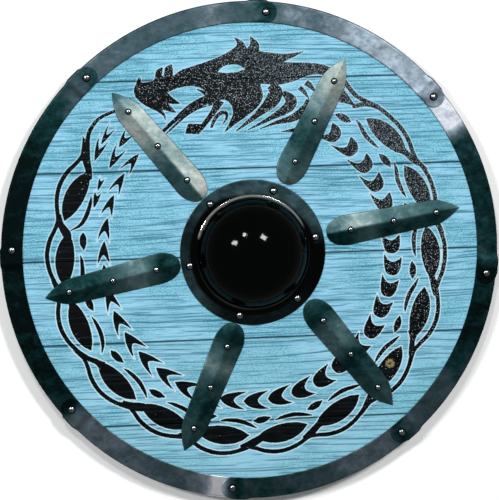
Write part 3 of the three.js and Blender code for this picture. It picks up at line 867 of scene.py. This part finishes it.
def rim_strip(number, start, finish):
    """Angles run from `start` down to each section point's own end; lift = LIFT * smoothstep of angle."""
    flat_outer, flat_inner = rim_section(0.0)
    high_outer, high_inner = rim_section(LIFT)
    flat = np.vstack([flat_outer, flat_inner[::-1]])
    high = np.vstack([high_outer, high_inner[::-1]])
    outer_count = len(flat_outer)
    share = np.concatenate([np.linspace(0, 0.86, 48), 1 - 0.14 * np.linspace(1, 0, 40)[1:] ** 1.3])
    past = np.sqrt(np.maximum(TONGUE_R**2 - (high[:, 0] - RIVET_RING) ** 2, 0)) / high[:, 0]
    end = finish - np.degrees(past)
    angle = start + (end[None, :] - start) * share[:, None]
    climb = smoothstep(finish + 5.0, finish + 3.1, angle)[..., None]
    section = flat * (1 - climb) + high * climb
    r, z = section[..., 0], section[..., 1].copy()

    # the sheared edges lose their corner: the outside skin sinks towards the inside skin there
    outside = np.arange(flat.shape[0]) < outer_count
    partner = np.arange(flat.shape[0])[::-1]
    inner_z, inner_r = z[:, partner], r[:, partner]
    from_end = np.minimum(np.abs(angle - end[None, :]), 9) * np.pi / 180 * RIVET_RING
    along_leg = np.where(z > (BOARD_FRONT + BOARD_BACK) / 2, r - RIM_FRONT_R, r - RIM_BACK_R)
    near_edge = np.maximum(1 - np.minimum(from_end, along_leg) / 0.5, 0) ** 2 * RIM_BLUNT / STEEL
    near_edge = near_edge * outside
    z = z + (inner_z - z) * near_edge
    r = r + (inner_r - r) * near_edge
    # shallow dents in the outside, never outwards
    dent = 0.22 * value_noise(angle * 0.9 + 40, r / 9, 300 + number) * outside
    z = z + (inner_z - z) * dent / STEEL
    turn = np.radians(angle)
    points = np.stack([r * np.cos(turn), r * np.sin(turn), z], -1)
    count, width = r.shape
    faces = [grid_faces(count, width, closed_columns=True)]
    half = np.arange(outer_count - 1)
    cap = np.stack([half, half + 1, width - 2 - half, width - 1 - half], -1)
    faces += [cap[:, ::-1], cap + (count - 1) * width]
    wrapped = (angle + 180) % 360 - 180
    # bareness along the rim, partly the torch's scale and partly painted sheen and shade
    bareness_with_light = np.interp(wrapped, *np.transpose(RIM_BARENESS_AND_LIGHT))
    bareness_with_light = bareness_with_light - 0.2 * smoothstep(27, 8, from_end) * outside
    bareness_with_light = bareness_with_light + 0.10 * smoothstep(RIM_R - 3.5, RIM_R - 0.5, r)
    name, node = f"folded_rim_strip_{number}", f"rim_strip_{number}"
    put_piece(name, points.reshape(-1, 3), faces, RIM_STEEL, node, "rim_steel", bareness=bareness_with_light)
    print(f"{name}: {start:.1f} to {finish:.1f} degrees")


rim_rivets = [middle(f"rim_rivet_{i}") for i in range(1, 9)]
rivet_angles = [np.degrees(np.arctan2(y, x)) for x, y in rim_rivets]
UNDER_TONGUE = 2.6  # degrees that a strip's tail runs on under its neighbour's tongue
for i, angle in enumerate(rivet_angles):
    following = rivet_angles[(i + 1) % len(rivet_angles)]
    gap = (angle - following) % 360
    rim_strip(i + 1, angle + UNDER_TONGUE, angle - gap)

# %% [markdown]
# ## The blades
#
# A blade is a spear-shaped sheet with a fold down its middle, like a low roof, and three rivets along
# the fold. Half its width is an ellipse at the butt, then a slow taper, then an ogive to the point.
# The height is RIDGE * (1 - |v|) across it, so the two facets catch the light differently.

# %% Blade shape
BLADE_HALF = 84.4
BUTT, POINT = 27.0, 33.0
WIDE, NARROW = 18.6, 15.6
BLADE_SHEET = 1.4
RIDGE = 2.8
BLUNT = 0.3  # how much the ends are cut short
EDGE = 0.35  # size of the blunted corner along each side
BLADE_STATIONS, BLADE_ACROSS, BLADE_UNDER = 118, 25, 7


def blade_half_width(along):
    """WIDE (1 - s^2)^0.45 over the butt, straight to NARROW, then NARROW (1 - s^1.6) over the point."""
    shoulder, neck = -BLADE_HALF + BUTT, BLADE_HALF - POINT
    body = np.interp(along, [shoulder, neck], [WIDE, NARROW])
    butt = WIDE * np.clip(1 - ((shoulder - along) / BUTT) ** 2, 0, 1) ** 0.45
    point = NARROW * (1 - np.clip((along - neck) / POINT, 0, 1) ** 1.6)
    return np.where(along < shoulder, butt, np.where(along > neck, point, body))


# how bare the steel is from butt (-1) to point (1), with painted sheen and shade mixed in, then the
# painted light and shade that its right-hand facet adds
BLADE_BARENESS_AND_LIGHT = {
    1: ([-1, -0.75, -0.35, -0.05, 0.2, 0.55, 0.85, 1], [0.5, 0.3, 0.3, 0.5, 0.72, 0.74, 0.5, 0.15],
        [0.38, 0.42, 0.36, 0.12, 0, 0, 0, 0]),
    2: ([-1, -0.75, -0.35, -0.05, 0.2, 0.55, 0.85, 1], [0.5, 0.42, 0.16, 0.24, 0.52, 0.64, 0.7, 0.7],
        [0, 0, 0.05, 0.05, 0.05, 0.08, 0.05, 0]),
    3: ([-1, -0.8, -0.55, -0.35, -0.1, 0.3, 0.7, 1], [0.38, 0.45, 0.7, 0.62, 0.4, 0.4, 0.28, 0.48],
        [-0.25, -0.4, -0.42, -0.22, -0.3, -0.2, -0.1, 0]),
    4: ([-1, -0.75, -0.45, -0.2, 0.05, 0.4, 0.75, 1], [0.18, 0.12, 0.46, 0.4, 0.1, 0.22, 0.32, 0.3],
        [0, 0, 0, 0.05, 0, 0.04, 0, 0]),
    5: ([-1, -0.75, -0.45, -0.3, 0.0, 0.3, 0.75, 1], [0.2, 0.1, 0.44, 0.56, 0.22, 0.14, 0.3, 0.3],
        [0, 0, 0, 0.04, 0, 0, 0.03, 0]),
    6: ([-1, -0.75, -0.45, -0.3, 0.0, 0.3, 0.75, 1], [0.25, 0.12, 0.5, 0.52, 0.26, 0.15, 0.1, 0.12],
        [-0.1, -0.05, 0, 0, 0, 0, 0, 0]),
}


def blade(number):
    """Stations along the blade, closer at its ends; the section runs over the top from left to right
    and back underneath, and the whole is turned to point from its inner rivet to its outer one."""
    tip, pivot, butt = (middle(f"blade_{number}_rivet_{place}") for place in (1, 2, 3))
    way = (tip - butt) / np.linalg.norm(tip - butt)
    left = np.array([-way[1], way[0]])
    along = (BLADE_HALF - BLUNT) * np.sin(np.linspace(-np.pi / 2, np.pi / 2, BLADE_STATIONS))
    half = np.maximum(blade_half_width(along), 0.12)
    v = np.concatenate([[-1, -1], np.linspace(-1, 1, BLADE_ACROSS), [1, 1]])
    edge_step = np.concatenate([[0, 0], [EDGE], np.zeros(BLADE_ACROSS - 2), [-EDGE], [0, 0]])
    side = [BLUNT, BLADE_SHEET - EDGE]
    rise = np.concatenate([side, np.full(BLADE_ACROSS, BLADE_SHEET), side[::-1]])
    v_all = np.concatenate([v, np.linspace(0.97, -0.97, BLADE_UNDER)])
    rise_all = np.concatenate([rise, np.zeros(BLADE_UNDER)])
    step_all = np.concatenate([edge_step, np.zeros(BLADE_UNDER)])
    across = -half[:, None] * v_all + step_all * np.minimum(half / 2, 1)[:, None] * -1
    roof = RIDGE * (half / WIDE)[:, None] * (1 - np.sqrt((across / half[:, None]) ** 2 + 0.0016))
    roof = np.maximum(roof, 0)
    dents = 0.16 * value_noise(along[:, None] / 11 + 50, across / 8 + 50, 500 + number)
    on_top = np.arange(len(v_all)) < len(v)
    low = extent(f"blade_{number}")[0][2]
    z = low + roof + rise_all - dents * on_top * (rise_all > 1)
    plan = pivot + along[:, None, None] * way + across[..., None] * left
    points = np.concatenate([plan, z[..., None]], -1)
    count, width = z.shape
    faces = [grid_faces(count, width, closed_columns=True)]
    ring = np.arange(width)
    faces += [ring[None, ::-1], (ring + (count - 1) * width)[None, :]]
    places, bare, right_facet_light = BLADE_BARENESS_AND_LIGHT[number]
    share = along / BLADE_HALF
    bareness_with_light = np.interp(share, places, bare)[:, None]
    # painted light and shade: the right-hand facet is made lighter on some blades and darker on others
    bareness_with_light = bareness_with_light + np.interp(share, places, right_facet_light)[:, None] * smoothstep(0.12, -0.12, across / WIDE)
    edge_near = smoothstep(1.6, 0.2, half[:, None] - np.abs(across))
    bareness_with_light = bareness_with_light + 0.12 * edge_near
    name, node = f"forged_blade_{number}", f"blade_{number}"
    put_piece(name, points.reshape(-1, 3), faces, BLADE_STEEL, node, "blade_steel", bareness=bareness_with_light)
    print(f"{name}: pointing {np.degrees(np.arctan2(way[1], way[0])):.1f} degrees")


for number in range(1, 7):
    blade(number)

# %% [markdown]
# ## The boss
#
# The boss is pressed from one sheet: a flat flange, a hollow sweep up from it, and half an ellipse. It
# is turned from a profile, so its formula is r = R cos t and z = foot + H sin t for the dome, with a
# cubic sweep down to the flange. Inside, the same curve one sheet thickness in closes the hollow.

# %% Boss
BOSS_R = (boss_high.x - boss_low.x) / 2 / MM
BOSS_TOP = boss_high.z / MM
BOSS_SHEET = 1.8
DOME_R, DOME_FOOT = 68.0, 5.0
DOME_RISE = BOSS_TOP - ON_BOARD - DOME_FOOT


def dome(thickness, count):
    """The dome's curve from the crown to its foot, one thickness in from the outside."""
    t = np.linspace(np.pi / 2, 0, count)
    return np.stack(
        [(DOME_R - thickness) * np.cos(t), ON_BOARD + DOME_FOOT + (DOME_RISE - thickness) * np.sin(t)], -1
    )


def boss_profile():
    """Crown, dome, sweep, flange, rounded edge, underside and the inside of the dome, to its crown."""
    outside = dome(0, 60)
    t = np.linspace(0, np.pi / 2, 9)[1:]
    foot = np.array([70.8, ON_BOARD + BOSS_SHEET])
    hollow = outside[-1] + (foot - outside[-1]) * np.stack([1 - np.cos(t), np.sin(t)], -1)
    flat = np.stack([np.linspace(71.8, BOSS_R - 1.4, 12), np.full(12, foot[1])], -1)
    a = np.linspace(np.pi / 2, -np.pi / 2, 9)
    half = BOSS_SHEET / 2
    lip = np.stack([BOSS_R - half + half * np.cos(a), ON_BOARD + half + half * np.sin(a)], -1)
    under = np.stack([np.linspace(BOSS_R - 2, DOME_R, 6), np.full(6, ON_BOARD)], -1)
    inside = dome(BOSS_SHEET, 40)[::-1]
    return np.vstack([outside, hollow, flat, lip, under, inside])


profile = boss_profile()
profile[[0, -1], 0] = 0
points, faces = turned(profile, 144)
radius = np.hypot(points[:, 0], points[:, 1])
bearing = np.degrees(np.arctan2(points[:, 1], points[:, 0]))
# how far the glossy coat, with painted shade next to the dome, runs out onto the flange, in millimetres
# from the axis, by bearing
gloss_and_shade_reach = np.interp(
    bearing, [-180, 0, 25, 50, 100, 118, 140, 180], [80, 80, 77, 71.5, 71.5, 77, 80, 80]
)
gloss = smoothstep(gloss_and_shade_reach + 4, gloss_and_shade_reach - 4, radius)
# how much of the coat is left on the rest of the flange, with painted shade that darkens all but its top
coat_and_shade_left = np.interp(
    bearing,
    [-180, -150, -120, -60, -30, 5, 28, 45, 90, 120, 150, 180],
    [0.8, 0.55, 0.93, 0.93, 1.0, 1.0, 0.1, 0.0, 0.08, 0.1, 0.78, 0.8],
)
gloss = np.maximum(gloss, coat_and_shade_left)
# painted highlight: how much of a bright arc the bend gets, by bearing, strongest along the top
highlight_share = np.interp(
    bearing,
    [-180, -140, -110, -70, -40, 24, 34, 60, 90, 112, 140, 158, 164, 180],
    [0, 0.02, 0.08, 0.08, 0.02, 0, 0.5, 0.8, 0.4, 0.5, 0.9, 1.0, 0, 0],
)
bend = smoothstep(67.9, 68.5, radius) * smoothstep(70.6, 69.9, radius) * (points[:, 2] > ON_BOARD + 1.5)
rubbed = bend * highlight_share
beaten = 0.10 * value_noise(points[:, 0] / 13 + 60, points[:, 1] / 13 + 60, 700)
flange_only = smoothstep(73, 76, radius) * (points[:, 2] > ON_BOARD + BOSS_SHEET - 0.2)
points[:, 2] -= beaten * flange_only
put_piece("enamelled_boss", points, faces, ENAMEL, "boss", "boss_enamel", gloss=gloss, rubbed=rubbed)
print(f"boss: {len(points)} points, radius {BOSS_R:.1f} mm, crown at {BOSS_TOP:.1f} mm")

# %% [markdown]
# ## The rivets
#
# Each rivet is a round-headed pin that is clenched over behind. All of them are one profile in two
# sizes, one for the blades' rivets and one for the rest. Each CAD rivet's box gives its place and its
# height: its top is the crown of the head and its foot is the clenched end.

# %% Rivets
BIG_RIVET = {"head": 5.0, "rise": 3.2, "shank": 2.4, "clench": 4.0}
SMALL_RIVET = {"head": 4.0, "rise": 2.7, "shank": 1.9, "clench": 3.3}
CLENCH_THICK = 1.5


def rivet(node, size):
    """Head: r = R sin t, z = seat + rise cos t, with a short upright rim below it; then the shank, and
    the clench, whose corners are rounded."""
    low, high = extent(node)
    x, y = middle(node)
    foot, top = low[2], high[2]
    seat = top - size["rise"]
    t = np.linspace(0, np.pi / 2, 10)
    head = np.stack([size["head"] * np.sin(t), seat + 0.35 + (size["rise"] - 0.35) * np.cos(t)], -1)
    rest = [
        (size["head"], seat + 0.12),
        (size["head"] - 0.12, seat),
        (size["shank"], seat),
        (size["shank"], foot + CLENCH_THICK),
        (size["clench"] * 0.8, foot + CLENCH_THICK),
        (size["clench"], foot + CLENCH_THICK * 0.6),
        (size["clench"] * 0.93, foot + CLENCH_THICK * 0.22),
        (size["clench"] * 0.72, foot),
        (0, foot),
    ]
    points, faces = turned(np.vstack([head, rest]), 24)
    # painted shade: a black ring on the outer part of the head
    painted_shade_ring = smoothstep(0.6, 0.8, np.hypot(points[:, 0], points[:, 1]) / size["head"])
    points[:, 0] += x
    points[:, 1] += y
    put_piece(f"domed_{node}", points, faces, RIVET_IRON, node, "rivet_iron", foot=painted_shade_ring)


rivet_nodes = sorted(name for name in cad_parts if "rivet" in name)
for node in rivet_nodes:
    rivet(node, SMALL_RIVET if node.startswith("blade") else BIG_RIVET)
print("rivets:", len(rivet_nodes))

# %% [markdown]
# ## The grip bar and battens
#
# Behind the boards run a grip bar, across the hand hole, and two battens that tie the boards together.
# Each is a bar with rounded edges, whose ends are sloped off underneath. The section is a rounded
# rectangle, and its lower half rises with the slope as it is carried along the bar.

# %% Bars
BAR_TIP = 7.0  # what is left of the bar's thickness at its sloped ends
BAR_SLOPE = 46.0
BAR_ROUND = 3.0
BAR_END_ROUND = 0.4
BAR_STATIONS = 150
COUNTERBORE_R, COUNTERBORE_DEPTH = 5.0, 4.0


def bar(node, name, seed):
    """Section (x, z) of a rounded rectangle times stations along y; z = top - (top - z) * thickness(y)."""
    low, high = extent(node)
    width, top, half = (high[0] - low[0]) / 2, high[2], high[1]
    centre_x = (high[0] + low[0]) / 2
    a = np.linspace(0, np.pi / 2, 6)
    corner = np.stack([BAR_ROUND * (1 - np.cos(a)), BAR_ROUND * (1 - np.sin(a))], -1)
    flat_x = np.linspace(-width + BAR_ROUND, width - BAR_ROUND, 14)[1:-1]
    side_z = np.linspace(BAR_ROUND, top - BAR_ROUND, 6)[1:-1]
    x = np.concatenate([
        -width + corner[:, 0], flat_x, (width - corner[:, 0])[::-1], np.full(4, width),
        width - corner[:, 0], flat_x[::-1], (-width + corner[:, 0])[::-1], np.full(4, -width),
    ])
    z = np.concatenate([
        top - corner[:, 1], np.full(12, top), (top - corner[:, 1])[::-1], side_z[::-1],
        corner[:, 1], np.zeros(12), corner[::-1, 1], side_z,
    ])
    inner_end = half - BAR_END_ROUND
    y = np.concatenate([[-half], np.linspace(-inner_end, inner_end, BAR_STATIONS), [half]])
    thickness = np.interp(half - np.abs(y), [0, BAR_SLOPE], [BAR_TIP, top])
    shrink = np.where(np.abs(y) == half, 1 - BAR_END_ROUND / width, 1.0)
    grid_x = centre_x + x[None, :] * shrink[:, None]
    grid_z = top - (top - z)[None, :] * (thickness / top)[:, None]
    worn = 0.25 * value_noise(y[:, None] / 9 + 30, grid_x / 4 + grid_z / 4 + 70, seed)
    inward = np.where(z > top - 0.01, -1.0, np.where(z < 0.01, 1.0, 0.0))
    grid_z = grid_z + worn * inward
    grid_y = y[:, None] + 0 * grid_x
    points = np.stack([grid_x, grid_y, grid_z], -1)
    count, section = grid_x.shape
    faces = [grid_faces(count, section, closed_columns=True)]
    ring = np.arange(section)
    faces += [ring[None, ::-1], (ring + (count - 1) * section)[None, :]]
    made = put_piece(name, points.reshape(-1, 3), faces, BARE_PINE, node, "bare_wood")
    print(f"{name}: {2 * half:.0f} by {2 * width:.0f} by {top:.0f} mm")
    return made


bars = {
    "grip_bar": bar("grip_bar", "carved_grip_bar", 801),
    "batten_left": bar("batten_left", "sawn_batten_left", 802),
    "batten_right": bar("batten_right", "sawn_batten_right", 803),
}

# %% [markdown]
# ## Counterbores
#
# Where a blade's rivet goes through a batten, its clenched end sits in a round hole in the batten's
# underside, so the shield still lies flat. A Boolean cut is the plainest way to drill a hole into a
# finished bar. It is applied at once, so what is left is an ordinary mesh.

# %% Drill the battens
def drill(piece, place):
    """Cuts a cylinder of COUNTERBORE_R and COUNTERBORE_DEPTH out of the piece's underside."""
    profile = [
        (0, COUNTERBORE_DEPTH), (COUNTERBORE_R - 0.4, COUNTERBORE_DEPTH),
        (COUNTERBORE_R, COUNTERBORE_DEPTH - 0.4), (COUNTERBORE_R, -2), (0, -2),
    ]
    points, faces = turned(profile, 32)
    points[:, :2] += place
    mesh = bpy.data.meshes.new("drill")
    blocks = [block.tolist() for block in faces]
    placed = points * MM + np.array([AXIS.x, AXIS.y, 0])
    mesh.from_pydata(placed.tolist(), [], [face for block in blocks for face in block])
    cutter = bpy.data.objects.new("drill", mesh)
    bpy.context.scene.collection.objects.link(cutter)
    cut = piece.modifiers.new("counterbore", "BOOLEAN")
    cut.operation, cut.object, cut.solver = "DIFFERENCE", cutter, "EXACT"
    graph = bpy.context.evaluated_depsgraph_get()
    drilled = bpy.data.meshes.new_from_object(piece.evaluated_get(graph))
    piece.modifiers.remove(cut)
    piece.data = drilled
    bpy.data.objects.remove(cutter)


holes = 0
for node, piece in bars.items():
    low, high = extent(node)
    for name in rivet_nodes:
        place = middle(name)
        inside = (place > low[:2]).all() and (place < high[:2]).all()
        if name.startswith("blade") and inside:
            drill(piece, place)
            holes += 1
print("counterbores:", holes)

# %% [markdown]
# ## Floor, light and camera
#
# The shield can't stand by itself, so it lies on its bars and the camera looks down on it. The light is
# a small studio's: a dim room all round, and three small softboxes high up, which are what the dome
# mirrors as three highlights. A larger softbox would be softer, but its mirror image on a glossy dome
# would be a large white patch.

# %% Floor
FLOOR = new_material("matt white backdrop paper")
mottled = add("MapRange", [stretched(600, 600, 2), 0.3, 0.7], **SMOOTH)
connect(shader, {"Base Color": coats("#f4f4f4", [(mottled, "#f8f8f8")]), "Roughness": 0.9})
FLOOR_HALF = 4.0
floor_mesh = bpy.data.meshes.new("backdrop")
corners = [(-1, -1, 0), (1, -1, 0), (1, 1, 0), (-1, 1, 0)]
floor_mesh.from_pydata([tuple(FLOOR_HALF * c for c in corner) for corner in corners], [], [(0, 1, 2, 3)])
floor_mesh.materials.append(FLOOR)
floor = bpy.data.objects.new("backdrop", floor_mesh)
bpy.context.scene.collection.objects.link(floor)
floor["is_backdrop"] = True

# %% Lights
scene = bpy.context.scene
scene.view_settings.view_transform = "Standard"
world = bpy.data.worlds.new("studio")
world.use_nodes = True
scene.world = world
# the room is dim, and a little brighter near the floor, so that the dome mirrors a dark studio
ROOM_LOW, ROOM_HIGH = 0.45, 0.22
tree = world.node_tree
upward = add("SeparateXYZ", [add("TexCoord", out="Generated")], "Z")
room = add("MapRange", {"Value": upward, "From Max": 0.4, "To Min": ROOM_LOW, "To Max": ROOM_HIGH})
connect(tree.nodes["Background"], {"Color": (0.96, 0.985, 1.0, 1.0), "Strength": room})
FOCUS = Vector((AXIS.x, AXIS.y, BOARD_FRONT * MM))
LAMP_DISTANCE = 2.6


def softbox(name, direction, width, height, watts):
    """An oblong area light LAMP_DISTANCE along `direction` from the shield, facing it."""
    data = bpy.data.lights.new(name, "AREA")
    data.shape, data.size, data.size_y, data.energy = "RECTANGLE", width, height, watts
    lamp = bpy.data.objects.new(name, data)
    away = Vector(direction).normalized()
    lamp.location = FOCUS + away * LAMP_DISTANCE
    lamp.rotation_euler = away.to_track_quat("Z", "Y").to_euler()
    scene.collection.objects.link(lamp)


softbox("softbox_left", (-0.450, 0.248, 0.858), 0.25, 0.34, 29)
softbox("softbox_middle", (-0.189, 0.430, 0.883), 0.19, 0.19, 16)
softbox("softbox_right", (0.276, 0.351, 0.894), 0.38, 0.28, 37)


# %% Camera
TILT, BEARING, ROLL = np.radians([8.047, 141.17, -1.457])
DISTANCE = 2.1914
AIM_ASIDE, AIM_UP = -0.0041, 0.0030  # the shield sits a little right of and below the frame's middle
outward = Vector((np.sin(TILT) * np.cos(BEARING), np.sin(TILT) * np.sin(BEARING), np.cos(TILT)))
eye = FOCUS + outward * DISTANCE
back = (eye - FOCUS - Vector((AIM_ASIDE, AIM_UP, 0))).normalized()
right = Vector((-np.sin(ROLL), np.cos(ROLL), 0)).cross(back).normalized()
up = back.cross(right)
camera = bpy.data.objects.new("camera", bpy.data.cameras.new("camera"))
camera.data.sensor_width = 36.0
camera.data.lens = 129.2
camera.data.clip_end = 50
camera.matrix_world = Matrix.Translation(eye) @ Matrix((right, up, back)).transposed().to_4x4()
scene.collection.objects.link(camera)
scene.camera = camera
print(f"camera {DISTANCE:.2f} m away, lens {camera.data.lens} mm")

# %% [markdown]
# ## Print the size
#
# The dressed model has to keep the CAD model's size, so both boxes are printed side by side.

# %% Sizes
looks_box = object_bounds()
boxes = {
    "cad": [list(corner) for corner in cad_box],
    "visual": [list(corner) for corner in looks_box],
}
for name, (low, high) in boxes.items():
    print(name, [round((b - a) / MM, 2) for a, b in zip(low, high)], "mm")
